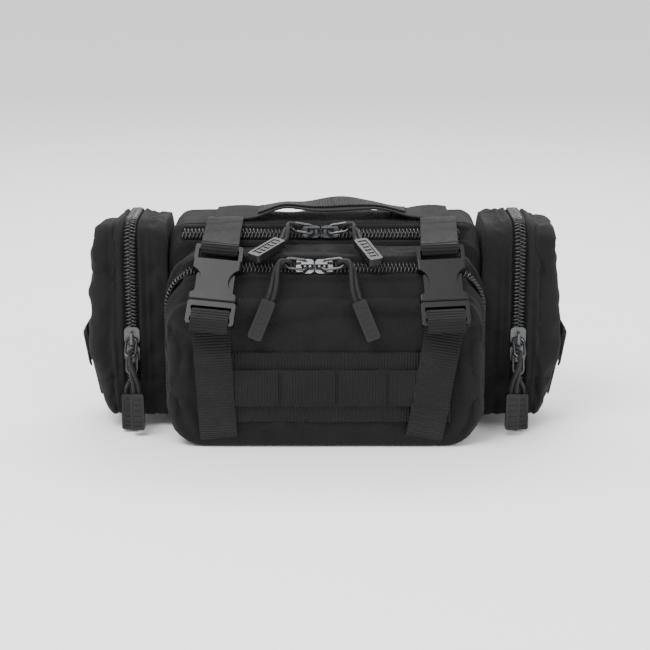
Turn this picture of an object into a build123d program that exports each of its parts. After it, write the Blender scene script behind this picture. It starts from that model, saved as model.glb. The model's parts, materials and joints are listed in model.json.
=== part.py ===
"""Tactical waist pack: a zipped main compartment, a zipped front pocket and two zipped side pockets,
held shut by two compression straps with side-release buckles. Millimetres, +Z up, the front faces -Y.
The origin is on the underside of the main compartment, on the centreline."""

import os
from math import cos, radians, sin, tan

from build123d import *

os.makedirs("parts", exist_ok=True)

# Driving dimensions
BAG_WIDTH = 214.0  # main compartment and front pocket
WALL = 3.0  # sewn fabric with its foam and lining
BACK_Y = 58.0
SEAM_Y = -12.0  # where the front pocket meets the main compartment
FRONT_Y = -58.0
MAIN_HEIGHT = 144.0
MAIN_LIP_Z = 130.0  # the main zip runs on a slope between this height and the top
MAIN_LIP_Y = 4.0
POCKET_HEIGHT = 130.0
POCKET_LIP_Z = 96.0  # the front zip runs on a slope above this height
POCKET_LIP_Y = -32.0
TOP_RADIUS = 30.0
BOTTOM_RADIUS = 26.0
BACK_PAD = 5.0

SIDE_WIDTH = 58.0
SIDE_FRONT_Y = -16.0
SIDE_BACK_Y = 56.0
SIDE_BOTTOM_Z = 8.0
SIDE_TOP_Z = 146.0
SIDE_RADIUS = 18.0
SIDE_EDGE = 10.0  # chamfer round the outer wall
SIDE_PANEL = 12.0  # how much of the pocket's width the outer panel takes
SIDE_ZIP_X = 133.0

CHAIN_HALF = 4.4  # width of one zip half, coil and stitched edge
CHAIN_GAP = 1.4  # between the halves, where the slider's post travels
ZIP_END_Z = 36.0  # the zips stop above the base
MAIN_ZIP_Y = -4.0
FRONT_ZIP_Y = -39.3

WEB = 25.0  # standard webbing width
WEB_WIDE = 48.0
WEB_THICK = 1.5
STRAP_THICK = 1.3
GAP = 0.3  # running clearance

MAIN_SLOPE = Vector(0, MAIN_LIP_Y - SEAM_Y, MAIN_HEIGHT - MAIN_LIP_Z).normalized()
FRONT_SLOPE = Vector(0, POCKET_LIP_Y - FRONT_Y, POCKET_HEIGHT - POCKET_LIP_Z).normalized()


def save(part, name):
    part.label = name
    export_step(part, f"parts/{name}.step")


def block(outline, width, silhouette=None, inset=0.0):
    """A side outline run across the bag, trimmed to a rounded front silhouette, all moved in by inset."""
    with BuildPart() as body:
        with BuildSketch(Plane.YZ.offset(-width / 2 + inset)) as side:
            with BuildLine():
                Polyline(*outline, close=True)
            make_face()
            if inset:
                offset(amount=-inset, kind=Kind.INTERSECTION, mode=Mode.REPLACE)
        extrude(amount=width - 2 * inset)
        if silhouette:
            height, top, bottom = silhouette
            with BuildSketch(Plane.XZ.offset(-BACK_Y)) as front:
                with BuildLine():
                    half = width / 2
                    FilletPolyline(
                        (-half, 0), (half, 0), (half, height), (-half, height),
                        radius=bottom, close=True,
                    )
                make_face()
                if inset:
                    offset(amount=-inset, kind=Kind.INTERSECTION, mode=Mode.REPLACE)
            extrude(amount=BACK_Y - FRONT_Y, mode=Mode.INTERSECT)
    return body.part


def slab(axis, low, high, low_z=-1.0, high_z=200.0):
    """A big box between two planes, for cutting panels out of a shell."""
    size, middle = [500.0, 500.0, high_z - low_z], [0.0, 0.0, (high_z + low_z) / 2]
    size[axis], middle[axis] = high - low, (high + low) / 2
    with BuildPart() as box:
        with Locations(tuple(middle)):
            Box(*size)
    return box.part


def chain_slabs(axis, centre, half_width, low_z=-1.0):
    """Two slabs, one for each half of a zip, with the slider's slot between them."""
    inner = CHAIN_GAP / 2
    return [
        slab(axis, centre - half_width, centre - inner, low_z),
        slab(axis, centre + inner, centre + half_width, low_z),
    ]


# Main compartment
main_outline = [
    (SEAM_Y, 0), (BACK_Y, 0), (BACK_Y, MAIN_HEIGHT), (MAIN_LIP_Y, MAIN_HEIGHT), (SEAM_Y, MAIN_LIP_Z),
]
main_shell = block(main_outline, BAG_WIDTH) - block(main_outline, BAG_WIDTH, inset=WALL)
MAIN_ZIP_HALF = (CHAIN_HALF + CHAIN_GAP / 2) * MAIN_SLOPE.Y
MAIN_ZIP_LENGTH = 196.0
with BuildPart() as main_zip_chain:
    for strip in chain_slabs(1, MAIN_ZIP_Y, MAIN_ZIP_HALF, MAIN_LIP_Z - WALL):
        add(main_shell & strip & slab(0, -MAIN_ZIP_LENGTH / 2, MAIN_ZIP_LENGTH / 2))
save(main_zip_chain.part, "main_zip_chain")

main_slot = slab(1, MAIN_ZIP_Y - MAIN_ZIP_HALF, MAIN_ZIP_Y + MAIN_ZIP_HALF, MAIN_LIP_Z - WALL) & slab(
    0, -MAIN_ZIP_LENGTH / 2, MAIN_ZIP_LENGTH / 2
)
with BuildPart() as main_front_panel:
    add(main_shell & slab(1, SEAM_Y, SEAM_Y + WALL, 0, MAIN_LIP_Z - WALL))
save(main_front_panel.part, "main_front_panel")
with BuildPart() as back_panel:
    add(main_shell & slab(1, BACK_Y - WALL, BACK_Y))
    with Locations((0, BACK_Y - WALL - BACK_PAD / 2, MAIN_HEIGHT / 2)):
        Box(BAG_WIDTH - 4 * WALL, BACK_PAD, MAIN_HEIGHT - 4 * WALL)
save(back_panel.part, "back_panel")
with BuildPart() as main_gusset:
    add(main_shell & slab(1, SEAM_Y, BACK_Y - WALL))
    add(main_front_panel.part, mode=Mode.SUBTRACT)
    add(main_slot, mode=Mode.SUBTRACT)
save(main_gusset.part, "main_gusset")

# Front pocket: a gusset, a front panel and the zip that runs up one side, over the top and down the other
pocket_outline = [
    (SEAM_Y, 0), (SEAM_Y, POCKET_HEIGHT), (POCKET_LIP_Y, POCKET_HEIGHT), (FRONT_Y, POCKET_LIP_Z), (FRONT_Y, 0),
]
pocket_silhouette = (POCKET_HEIGHT, TOP_RADIUS, BOTTOM_RADIUS)
pocket_room = block(pocket_outline, BAG_WIDTH, pocket_silhouette, WALL)
front_shell = block(pocket_outline, BAG_WIDTH, pocket_silhouette) - pocket_room
front_shell = front_shell - Pos(0, WALL, 0) * pocket_room
FRONT_ZIP_HALF = (CHAIN_HALF + CHAIN_GAP / 2) * FRONT_SLOPE.Y
PANEL_BACK_Y = FRONT_ZIP_Y - FRONT_ZIP_HALF - 3.0
with BuildPart() as front_zip_chain:
    for strip in chain_slabs(1, FRONT_ZIP_Y, FRONT_ZIP_HALF, ZIP_END_Z):
        add(front_shell & strip)
save(front_zip_chain.part, "front_zip_chain")
front_slot = slab(1, FRONT_ZIP_Y - FRONT_ZIP_HALF, FRONT_ZIP_Y + FRONT_ZIP_HALF, ZIP_END_Z)
with BuildPart() as front_panel:
    add(front_shell & slab(1, FRONT_Y, PANEL_BACK_Y))
save(front_panel.part, "front_panel")
with BuildPart() as front_gusset:
    add(front_shell & slab(1, PANEL_BACK_Y, SEAM_Y))
    add(front_slot, mode=Mode.SUBTRACT)
save(front_gusset.part, "front_gusset")


# Side pockets: a gusset open towards the main compartment, an outer panel and a zip over the middle
def side_block(inset=0.0):
    with BuildPart() as body:
        with BuildSketch(Plane.YZ.offset(BAG_WIDTH / 2)) as side:
            with Locations(((SIDE_FRONT_Y + SIDE_BACK_Y) / 2, (SIDE_BOTTOM_Z + SIDE_TOP_Z) / 2)):
                RectangleRounded(
                    SIDE_BACK_Y - SIDE_FRONT_Y - 2 * inset,
                    SIDE_TOP_Z - SIDE_BOTTOM_Z - 2 * inset,
                    SIDE_RADIUS - inset,
                )
        extrude(amount=SIDE_WIDTH - inset)
        chamfer(body.faces().sort_by(Axis.X)[-1].edges(), SIDE_EDGE - inset / 2)
    return body.part


side_shell = side_block() - side_block(WALL)
SIDE_OUT_X = BAG_WIDTH / 2 + SIDE_WIDTH
SIDE_PANEL_X = SIDE_OUT_X - SIDE_PANEL
SIDE_ZIP_HALF = CHAIN_HALF + CHAIN_GAP / 2
with BuildPart() as side_chain:
    for strip in chain_slabs(0, SIDE_ZIP_X, SIDE_ZIP_HALF, ZIP_END_Z):
        add(side_shell & strip)
with BuildPart() as side_panel:
    add(side_shell & slab(0, SIDE_PANEL_X, SIDE_OUT_X))
with BuildPart() as side_gusset:
    add(side_shell & slab(0, BAG_WIDTH / 2, SIDE_PANEL_X))
    add(slab(0, SIDE_ZIP_X - SIDE_ZIP_HALF, SIDE_ZIP_X + SIDE_ZIP_HALF, ZIP_END_Z), mode=Mode.SUBTRACT)
SIDE_WEB_LENGTH = 52.0
SIDE_WEB_Z = 46.0
with BuildPart() as side_webbing:
    with Locations((SIDE_OUT_X + WEB_THICK / 2, (SIDE_FRONT_Y + SIDE_BACK_Y) / 2, SIDE_WEB_Z)):
        Box(WEB_THICK, SIDE_WEB_LENGTH, WEB_WIDE)
    with Locations((SIDE_OUT_X + 1.5 * WEB_THICK, (SIDE_FRONT_Y + SIDE_BACK_Y) / 2, SIDE_WEB_Z)):
        Box(WEB_THICK, SIDE_WEB_LENGTH, WEB)
for name, right in {
    "pocket_zip_chain": side_chain.part,
    "pocket_panel": side_panel.part,
    "pocket_gusset": side_gusset.part,
    "pocket_webbing": side_webbing.part,
}.items():
    save(right, f"right_{name}")
    save(mirror(right, about=Plane.YZ), f"left_{name}")

# Webbing sewn on the front panel and across the back
FRONT_WEB_LENGTH = 168.0
FRONT_WEB_Z = 43.0
with BuildPart() as front_webbing:
    with Locations((0, FRONT_Y - WEB_THICK / 2, FRONT_WEB_Z)):
        Box(FRONT_WEB_LENGTH, WEB_THICK, WEB_WIDE)
    with Locations((0, FRONT_Y - 1.5 * WEB_THICK, FRONT_WEB_Z)):
        Box(FRONT_WEB_LENGTH, WEB_THICK, WEB)
save(front_webbing.part, "front_webbing")

BACK_WEB_LENGTH = 196.0
BACK_WEB_HEIGHTS = (30.0, 72.0, 114.0)
with BuildPart() as back_webbing:
    with Locations(*[(0, BACK_Y + WEB_THICK / 2, z) for z in BACK_WEB_HEIGHTS]):
        Box(BACK_WEB_LENGTH, WEB_THICK, WEB)
save(back_webbing.part, "back_webbing")

# Carry handle: two sewn ends on the top and a slack grip between them
HANDLE_Y = 25.0
HANDLE_WIDTH = 36.0
HANDLE_LEFT_X = -76.0
HANDLE_RIGHT_X = 86.0
HANDLE_END = 26.0  # length of each sewn end
HANDLE_THICK = 2.4
HANDLE_RISE = 5.0
grip_left = HANDLE_LEFT_X + HANDLE_END + GAP
grip_right = HANDLE_RIGHT_X - HANDLE_END - GAP
with BuildPart() as handle_ends:
    for x in (HANDLE_LEFT_X + HANDLE_END / 2, HANDLE_RIGHT_X - HANDLE_END / 2):
        with Locations((x, HANDLE_Y, MAIN_HEIGHT + STRAP_THICK + HANDLE_THICK / 2)):
            Box(HANDLE_END, HANDLE_WIDTH, HANDLE_THICK)
save(handle_ends.part, "handle_ends")
with BuildPart() as carry_handle:
    with BuildSketch(Plane.XZ.offset(-HANDLE_Y - HANDLE_WIDTH / 2)) as side:
        floor = MAIN_HEIGHT + STRAP_THICK
        middle = (grip_left + grip_right) / 2
        with BuildLine():
            low = ThreePointArc((grip_left, floor), (middle, floor + HANDLE_RISE), (grip_right, floor))
            high = ThreePointArc(
                (grip_left, floor + HANDLE_THICK),
                (middle, floor + HANDLE_RISE + HANDLE_THICK),
                (grip_right, floor + HANDLE_THICK),
            )
            Line(low @ 0, high @ 0)
            Line(low @ 1, high @ 1)
        make_face()
    extrude(amount=HANDLE_WIDTH)
save(carry_handle.part, "carry_handle")

# Compression straps and side-release buckles, one pair on each side
BUCKLE_WIDTH = 32.0
BUCKLE_THICK = 8.0
BUCKLE_LENGTH = 58.0
BUCKLE_OFF = 1.6  # between the buckle's back and the slope
RECEPTACLE = 41.0  # length of the receptacle, bar and slot included
SLOT_DEPTH = 8.0
BAR = 3.0
FRAME_WALL = 2.6
CAVITY_THICK = 4.6
CAVITY_WIDTH = 26.0
WINDOW_RADIUS = 10.0
PLUG_BAR = 7.3  # the plug's strap bar above its lower end
PLUG_BAR_WIDTH = 4.4
BAR_CUT = 1.2  # the strap end is thinner than the rest, front and back
PRONG_WIDTH = 3.6
BUCKLES = {"left": {"x": -73.0, "lean": -6.0}, "right": {"x": 78.0, "lean": 3.0}}
BUCKLE_DOWN = 7.0  # how far the buckle's middle sits below the middle of the slope
slope_middle = Vector(0, (POCKET_LIP_Y + FRONT_Y) / 2, (POCKET_HEIGHT + POCKET_LIP_Z) / 2)
front_normal = Vector(0, -FRONT_SLOPE.Z, FRONT_SLOPE.Y)
buckle_centre = slope_middle - FRONT_SLOPE * BUCKLE_DOWN + front_normal * (BUCKLE_THICK / 2 + BUCKLE_OFF)
SPLIT_Y = BUCKLE_LENGTH / 2 - RECEPTACLE  # where the receptacle ends and the plug's shoulder begins


def buckle_plane(side):
    """The buckle's own plane: local y runs up the strap and z points off the bag."""
    lean = radians(BUCKLES[side]["lean"])
    across = Vector(cos(lean), 0, 0) + FRONT_SLOPE * sin(lean)
    return Plane(buckle_centre + Vector(BUCKLES[side]["x"], 0, 0), x_dir=across, z_dir=front_normal)


def webbing_ring(plane, y, hole_y, hole_z):
    """A turn of webbing round a bar that runs across the buckle at local y."""
    turn = Plane(plane.from_local_coords((-WEB / 2, y, 0)), x_dir=plane.y_dir, z_dir=plane.x_dir)
    with BuildPart() as body:
        with BuildSketch(turn):
            RectangleRounded(hole_y + 2 * STRAP_THICK, hole_z + 2 * STRAP_THICK, 1.6)
            RectangleRounded(hole_y, hole_z, 0.3, mode=Mode.SUBTRACT)
        extrude(amount=WEB)
    return body.part


def receptacle(plane):
    """Hollow half: a strap bar at the top, round side windows for the prongs and an open mouth below."""
    top = BUCKLE_LENGTH / 2
    with BuildPart() as body:
        with BuildSketch(plane.offset(-BUCKLE_THICK / 2)):
            with Locations((0, (top + SPLIT_Y) / 2)):
                RectangleRounded(BUCKLE_WIDTH, top - SPLIT_Y, 2.0)
        extrude(amount=BUCKLE_THICK)
        fillet(body.edges().group_by(SortBy.LENGTH)[-1], 1.2)
        with BuildSketch(plane.offset(-BUCKLE_THICK / 2)):
            with Locations((0, top - BAR - SLOT_DEPTH / 2)):
                RectangleRounded(BUCKLE_WIDTH - 2 * FRAME_WALL, SLOT_DEPTH, 1.0)
            with Locations((-BUCKLE_WIDTH / 2 - 3.0, 2.0), (BUCKLE_WIDTH / 2 + 3.0, 2.0)):
                Circle(WINDOW_RADIUS)
        extrude(amount=BUCKLE_THICK, mode=Mode.SUBTRACT)
        for face in (BUCKLE_THICK / 2 - BAR_CUT, -BUCKLE_THICK / 2):
            with BuildSketch(plane.offset(face)):
                with Locations((0, top - (BAR + SLOT_DEPTH) / 2)):
                    Rectangle(BUCKLE_WIDTH, BAR + SLOT_DEPTH)
            extrude(amount=BAR_CUT, mode=Mode.SUBTRACT)
        with BuildSketch(plane.offset(-CAVITY_THICK / 2)):
            with Locations((0, (SPLIT_Y + 10.0) / 2)):
                Rectangle(CAVITY_WIDTH, 10.0 - SPLIT_Y)
        extrude(amount=CAVITY_THICK, mode=Mode.SUBTRACT)
    return body.part


def plug(plane):
    """Solid half: a frame with two strap bars below, a centre guide and two side prongs above."""
    bottom = -BUCKLE_LENGTH / 2
    shoulder = SPLIT_Y - GAP
    blade = CAVITY_THICK - 2 * GAP
    with BuildPart() as body:
        with BuildSketch(plane.offset(-BUCKLE_THICK / 2 + 1.0)):
            with Locations((0, (bottom + shoulder) / 2)):
                RectangleRounded(BUCKLE_WIDTH, shoulder - bottom, 2.0)
            for y in (PLUG_BAR - PLUG_BAR_WIDTH / 2 - 1.7, PLUG_BAR + PLUG_BAR_WIDTH / 2 + 1.7):
                with Locations((0, bottom + y)):
                    RectangleRounded(BUCKLE_WIDTH - 2 * FRAME_WALL, 3.4, 0.8, mode=Mode.SUBTRACT)
        extrude(amount=BUCKLE_THICK - 2.0)
        with BuildSketch(plane.offset(-blade / 2)):
            reach = 9.0 - shoulder
            with Locations((0, shoulder + reach / 2 - 0.5)):
                Rectangle(5.0, reach)
            for sign in (-1, 1):
                with Locations((sign * (CAVITY_WIDTH / 2 - PRONG_WIDTH / 2 - GAP), shoulder + reach / 2 - 0.5)):
                    SlotOverall(reach, PRONG_WIDTH, rotation=90)
        extrude(amount=blade)
    return body.part


def band(profile, x, lean=0.0, pivot=(0, 0)):
    """A strap: a line in side view, thickened and run across the webbing's width, leant in the front view."""
    with BuildPart() as body:
        with BuildSketch(Plane.YZ.offset(x - WEB / 2)):
            with BuildLine():
                FilletPolyline(*profile, radius=2.0)
            trace(line_width=STRAP_THICK)
        extrude(amount=WEB)
    axis = Axis((x, pivot[0], pivot[1]), (0, 1, 0))
    return body.part.rotate(axis, lean)


webbing_y = FRONT_Y - 2 * WEB_THICK - GAP - STRAP_THICK / 2
panel_y = FRONT_Y - GAP - STRAP_THICK / 2
frame_low = buckle_centre - FRONT_SLOPE * (BUCKLE_LENGTH / 2)
strap_start = buckle_centre - FRONT_SLOPE * 24.0 - front_normal * 6.3
lower_profile = [
    (strap_start.Y, strap_start.Z), (webbing_y, 74.0), (webbing_y, 17.0), (panel_y, 11.0), (panel_y, 3.5),
]
TOP_STRAP_Z = MAIN_HEIGHT + STRAP_THICK / 2
LOWER_LEAN = {"left": -3.0, "right": 9.0}
upper_straps = []
for side in ("left", "right"):
    plane = buckle_plane(side)
    save(receptacle(plane), f"{side}_buckle_receptacle")
    save(plug(plane), f"{side}_buckle_plug")
    bar_y = PLUG_BAR - BUCKLE_LENGTH / 2
    loop = webbing_ring(plane, bar_y, PLUG_BAR_WIDTH + 0.2, BUCKLE_THICK - 1.8)
    save(loop, f"{side}_strap_loop")
    plug_end = plane.from_local_coords((0, -BUCKLE_LENGTH / 2, 0))
    lower = band(lower_profile, plug_end.X, LOWER_LEAN[side], (webbing_y, frame_low.Z))
    save(lower, f"{side}_lower_strap")
    strap_end = plane.from_local_coords((0, (BUCKLE_LENGTH - BAR) / 2, 0))
    level = Plane(strap_end, x_dir=(1, 0, 0), z_dir=front_normal)
    hole = BAR + WEB * sin(radians(abs(BUCKLES[side]["lean"]))) + 0.4
    turn = webbing_ring(level, 0, hole, BUCKLE_THICK - 2 * BAR_CUT + 0.2)
    tip = level.from_local_coords((0, (hole + STRAP_THICK) / 2, 0))
    upper_profile = [(HANDLE_Y - 12.0, TOP_STRAP_Z), (MAIN_LIP_Y - 1.5, TOP_STRAP_Z), (tip.Y, tip.Z)]
    upper_straps.append(band(upper_profile, strap_end.X) + turn)
with BuildPart() as upper_strap_pair:
    for strap in upper_straps:
        add(strap)
save(upper_strap_pair.part, "upper_straps")

# Zip sliders: a plate above and a plate below the chain, a blade between them in the slot, and a bail on top
SLIDER_LENGTH = 12.0
SLIDER_WIDTH = 10.6
PLATE = 1.5
BLADE = 0.6
BAIL_HALF = 4.2
BAIL_WIRE = 1.5
BAIL_OPENING = 3.2
BAIL_SHIFT = 1.6  # towards the nose
RING_WIRE = 1.8
RING_LENGTH = 17.0
RING_WIDTH = 9.0
HINGE_HEIGHT = GAP + PLATE + BAIL_OPENING / 2
CORD = 2.8
CORD_TURN = 3.1  # from the ring's wire to the cord's centreline
STRAND_HALF = 1.7
TAB_LENGTH = 28.0
SIDE_TAB_LENGTH = 26.0
TAB_WIDTH = 9.6
TAB_THICK = 5.0


def zip_slider(origin, travel, normal, axis):
    """Origin on the chain's outer face; travel points to the nose; axis is the one the slot is cut across."""
    face = Plane(origin, x_dir=travel, z_dir=normal)
    centre = (origin.X, origin.Y, origin.Z)[axis]
    blade = face * Pos(1.5, 0, -WALL / 2) * Box(6.0, 8.0, WALL + 2 * GAP + PLATE)
    blade = blade & slab(axis, centre - BLADE / 2, centre + BLADE / 2)
    with BuildPart() as body:
        for height in (GAP, -WALL - GAP - PLATE):
            with BuildSketch(face.offset(height)):
                RectangleRounded(SLIDER_LENGTH, SLIDER_WIDTH, 3.0)
            extrude(amount=PLATE)
        add(blade)
        side = Plane(
            face.from_local_coords((BAIL_SHIFT, 0, 0)), x_dir=travel, z_dir=Vector(travel).cross(normal)
        )
        base = GAP + PLATE
        with BuildSketch(side.offset(-0.8)):
            with Locations((0, base - 0.4 + (BAIL_OPENING + BAIL_WIRE + 0.4) / 2)):
                RectangleRounded(2 * BAIL_HALF, BAIL_OPENING + BAIL_WIRE + 0.4, 0.39)
            with Locations((0, base + BAIL_OPENING / 2)):
                RectangleRounded(2 * (BAIL_HALF - BAIL_WIRE), BAIL_OPENING, 0.5, mode=Mode.SUBTRACT)
        extrude(amount=1.6)
    return body.part


def zip_ring(hinge, along, normal):
    """A racetrack of wire whose near end passes through the bail."""
    centre = hinge + along * ((RING_LENGTH - RING_WIRE) / 2)
    flat = Plane(centre, x_dir=along, z_dir=normal)
    half, turn = (RING_LENGTH - RING_WIDTH) / 2, (RING_WIDTH - RING_WIRE) / 2
    with BuildPart() as body:
        with BuildLine(flat) as path:
            first = Line((-half, turn), (half, turn))
            bend = ThreePointArc(first @ 1, (half + turn, 0), (half, -turn))
            second = Line(bend @ 1, (-half, -turn))
            ThreePointArc(second @ 1, (-half - turn, 0), first @ 0)
        with BuildSketch(Plane(path.wire() @ 0, z_dir=path.wire() % 0)):
            Circle(RING_WIRE / 2)
        sweep()
    return body.part


def corner_radii(points):
    """For each inner corner, nearly half of the shorter run on either side goes into the bend."""
    radii = []
    for before, here, after in zip(points, points[1:], points[2:]):
        arriving, leaving = here - before, after - here
        turn = arriving.get_angle(leaving)
        radii.append(0.45 * min(arriving.length, leaving.length) / tan(radians(turn / 2)))
    return radii


def cord_route(hinge, along, normal, start, tab, leave_run, enter_run):
    """From one side of the tab, round the ring's far wire, and back to the tab's other side."""
    far = hinge + along * (RING_LENGTH - RING_WIRE)
    across = tab.y_dir if tab.y_dir.dot(normal) >= 0 else -tab.y_dir
    strands = []
    for sign in (1, -1):
        rise, spread = normal * sign, across * sign
        bend = far - along * (CORD_TURN * 0.577) + rise * CORD_TURN
        leave = far + along * leave_run + rise * 3.0
        enter = start - tab.x_dir * enter_run + spread * STRAND_HALF
        middle = (leave + enter) / 2 + (rise * 3.0 + spread * STRAND_HALF) * 0.1 + tab.z_dir
        strands.append([bend, leave, middle, enter, start + spread * STRAND_HALF])
    turn_back = far - along * (CORD_TURN / 0.866)
    return list(reversed(strands[0])) + [turn_back] + strands[1]


def zip_cord(name, points):
    radii = corner_radii(points)
    print(f"{name} bend radii", " ".join(f"{radius:.1f}" for radius in radii))
    with BuildPart() as body:
        with BuildLine() as path:
            FilletPolyline(*points, radius=radii)
        with BuildSketch(Plane(path.wire() @ 0, z_dir=path.wire() % 0)):
            Circle(CORD / 2)
        sweep()
    length = path.wire().length
    share = body.part.volume / (length * 3.14159 * (CORD / 2) ** 2)
    print(f"{name} length {length:.1f} volume over section times length {share:.4f}")
    return body.part


def zip_tab(tab, length):
    """A moulded tab on its own plane: x along it, z its face, with a framed panel of plain ridges."""
    with BuildPart() as body:
        with BuildSketch(tab.offset(-TAB_THICK / 2)):
            with Locations((length / 2, 0)):
                RectangleRounded(length, TAB_WIDTH, 1.7)
        extrude(amount=TAB_THICK)
        with BuildSketch(tab.offset(TAB_THICK / 2 - 0.5)):
            with Locations((length / 2, 0)):
                RectangleRounded(length - 5.0, TAB_WIDTH - 3.4, 1.4)
                with GridLocations(4.0, 0, 5, 1):
                    Rectangle(1.4, TAB_WIDTH - 5.4, mode=Mode.SUBTRACT)
        extrude(amount=0.5, mode=Mode.SUBTRACT)
    return body.part


def pull(name, hinge, along, normal, tab_start, tab_end, tab_face, length, runs):
    """The ring, the cord loop and the tab that swing together on the slider's bail."""
    direction = (tab_end - tab_start).normalized()
    tab = Plane(tab_start, x_dir=direction, z_dir=tab_face - direction * tab_face.dot(direction))
    save(zip_ring(hinge, along, normal), f"{name}_ring")
    save(zip_cord(name, cord_route(hinge, along, normal, tab_start, tab, *runs)), f"{name}_cord")
    save(zip_tab(tab, length), f"{name}_tab")


MEET = {"main": -3.0, "front": -7.0}
CORD_RUNS = {"main": (4.0, 5.0), "front": (5.5, 6.5)}  # straight runs next to the ring and the tab
SIDE_MEET_Z = 61.5
REACH = SLIDER_LENGTH / 2 + GAP
main_normal = Vector(0, -MAIN_SLOPE.Z, MAIN_SLOPE.Y)
main_zip_z = MAIN_LIP_Z + (MAIN_ZIP_Y - SEAM_Y) * MAIN_SLOPE.Z / MAIN_SLOPE.Y
front_zip_z = POCKET_LIP_Z + (FRONT_ZIP_Y - FRONT_Y) * FRONT_SLOPE.Z / FRONT_SLOPE.Y
RING_LIFT = radians(15.0)
top_zips = {
    "main": (MAIN_ZIP_Y, main_zip_z, main_normal),
    "front": (FRONT_ZIP_Y, front_zip_z, front_normal),
}
tabs = {
    "main_left": (Vector(-30.0, -27, 135.4), Vector(-47.5, -47.5, 128.7), Vector(0, -0.2, 1)),
    "main_right": (Vector(23.5, -27, 135.4), Vector(33.0, -49.0, 127.4), Vector(0, -0.2, 1)),
    "front_left": (Vector(-36.5, -60.4, 103), Vector(-47.5, -63.0, 76), Vector(0, -1, 0.2)),
    "front_right": (Vector(22, -60.4, 102.5), Vector(33, -63.0, 75.5), Vector(0, -1, 0.2)),
}
for bag, (y, z, normal) in top_zips.items():
    for side, sign in (("left", -1), ("right", 1)):
        origin = Vector(MEET[bag] + sign * REACH, y, z)
        name = f"{bag}_{side}"
        save(zip_slider(origin, Vector(-sign, 0, 0), normal, 1), f"{name}_slider")
        hinge = origin + normal * HINGE_HEIGHT - Vector(sign * BAIL_SHIFT, 0, 0)
        along = Vector(sign * cos(RING_LIFT), 0, 0) + normal * sin(RING_LIFT)
        ring_face = normal * cos(RING_LIFT) - Vector(sign * sin(RING_LIFT), 0, 0)
        print(f"{name} hinge {hinge.X:.2f} {hinge.Y:.2f} {hinge.Z:.2f}")
        pull(name, hinge, along, ring_face, *tabs[name], TAB_LENGTH, CORD_RUNS[bag])

side_pulls = {
    "upper": (1, 50.0, Vector(129.0, -32.6, 31.0), Vector(128.6, -31.6, 3.2), (4.4, 5.0)),
    "lower": (-1, 15.0, Vector(135.6, -22.0, 28.0), Vector(136.2, -20.8, 1.6), (3.0, 3.5)),
}
for side, mirrored in (("left", -1), ("right", 1)):
    for level, (sign, lift, start, end, runs) in side_pulls.items():
        origin = Vector(mirrored * SIDE_ZIP_X, SIDE_FRONT_Y, SIDE_MEET_Z + sign * REACH)
        name = f"{side}_pocket_{level}"
        save(zip_slider(origin, Vector(0, 0, -sign), Vector(0, -1, 0), 0), f"{name}_slider")
        hinge = origin + Vector(0, -HINGE_HEIGHT, -sign * BAIL_SHIFT)
        tilt = radians(lift)
        along = Vector(0, -sin(tilt), -cos(tilt))
        ring_face = Vector(0, -cos(tilt), sin(tilt))
        print(f"{name} hinge {hinge.X:.2f} {hinge.Y:.2f} {hinge.Z:.2f}")
        start, end = (Vector(mirrored * point.X, point.Y, point.Z) for point in (start, end))
        pull(name, hinge, along, ring_face, start, end, Vector(0, -1, 0), SIDE_TAB_LENGTH, runs)
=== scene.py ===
import json
from math import cos, pi, radians, sin

import bmesh
import bpy
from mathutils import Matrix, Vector, noise


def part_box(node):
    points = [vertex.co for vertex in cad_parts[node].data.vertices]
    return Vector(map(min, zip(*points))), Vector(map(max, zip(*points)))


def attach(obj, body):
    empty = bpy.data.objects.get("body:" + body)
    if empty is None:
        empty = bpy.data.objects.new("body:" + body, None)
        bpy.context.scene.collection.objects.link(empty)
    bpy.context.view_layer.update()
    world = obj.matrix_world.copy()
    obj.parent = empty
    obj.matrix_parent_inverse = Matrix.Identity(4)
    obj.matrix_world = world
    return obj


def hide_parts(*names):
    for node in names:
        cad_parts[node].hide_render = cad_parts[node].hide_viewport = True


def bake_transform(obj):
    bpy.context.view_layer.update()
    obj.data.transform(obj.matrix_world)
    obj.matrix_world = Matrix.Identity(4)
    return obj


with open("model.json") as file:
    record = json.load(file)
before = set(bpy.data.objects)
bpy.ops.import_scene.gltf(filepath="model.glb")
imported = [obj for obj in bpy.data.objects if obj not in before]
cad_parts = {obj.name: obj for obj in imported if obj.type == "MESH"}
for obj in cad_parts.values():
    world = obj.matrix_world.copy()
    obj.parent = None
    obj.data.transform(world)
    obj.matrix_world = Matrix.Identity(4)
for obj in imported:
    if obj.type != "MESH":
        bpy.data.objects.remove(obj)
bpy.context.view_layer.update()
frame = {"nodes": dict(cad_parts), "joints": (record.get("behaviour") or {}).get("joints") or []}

MM = 0.001

# Places and sizes of the pack, read from the frame where it has them
BAG_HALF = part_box("main_gusset")[1].x
BACK_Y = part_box("back_panel")[1].y
SEAM_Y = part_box("main_front_panel")[0].y
FRONT_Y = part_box("front_panel")[0].y
MAIN_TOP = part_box("main_gusset")[1].z
POCKET_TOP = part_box("front_gusset")[1].z
SIDE_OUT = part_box("right_pocket_panel")[1].x
SIDE_LOW, SIDE_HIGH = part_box("right_pocket_gusset")
WEB = 25 * MM
STRAP_THICK = 1.3 * MM
FRONT_LIP_Z = 96 * MM  # the front zip's slope starts here on the front face
FRONT_LIP_Y = -32 * MM  # and ends here on the top
MAIN_LIP_Z = 130 * MM
MAIN_LIP_Y = 4 * MM
FRONT_SLOPE = Vector((0, FRONT_LIP_Y - FRONT_Y, POCKET_TOP - FRONT_LIP_Z)).normalized()
MAIN_SLOPE = Vector((0, MAIN_LIP_Y - SEAM_Y, MAIN_TOP - MAIN_LIP_Z)).normalized()
FRONT_NORMAL = Vector((0, -FRONT_SLOPE.z, FRONT_SLOPE.y))
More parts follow.
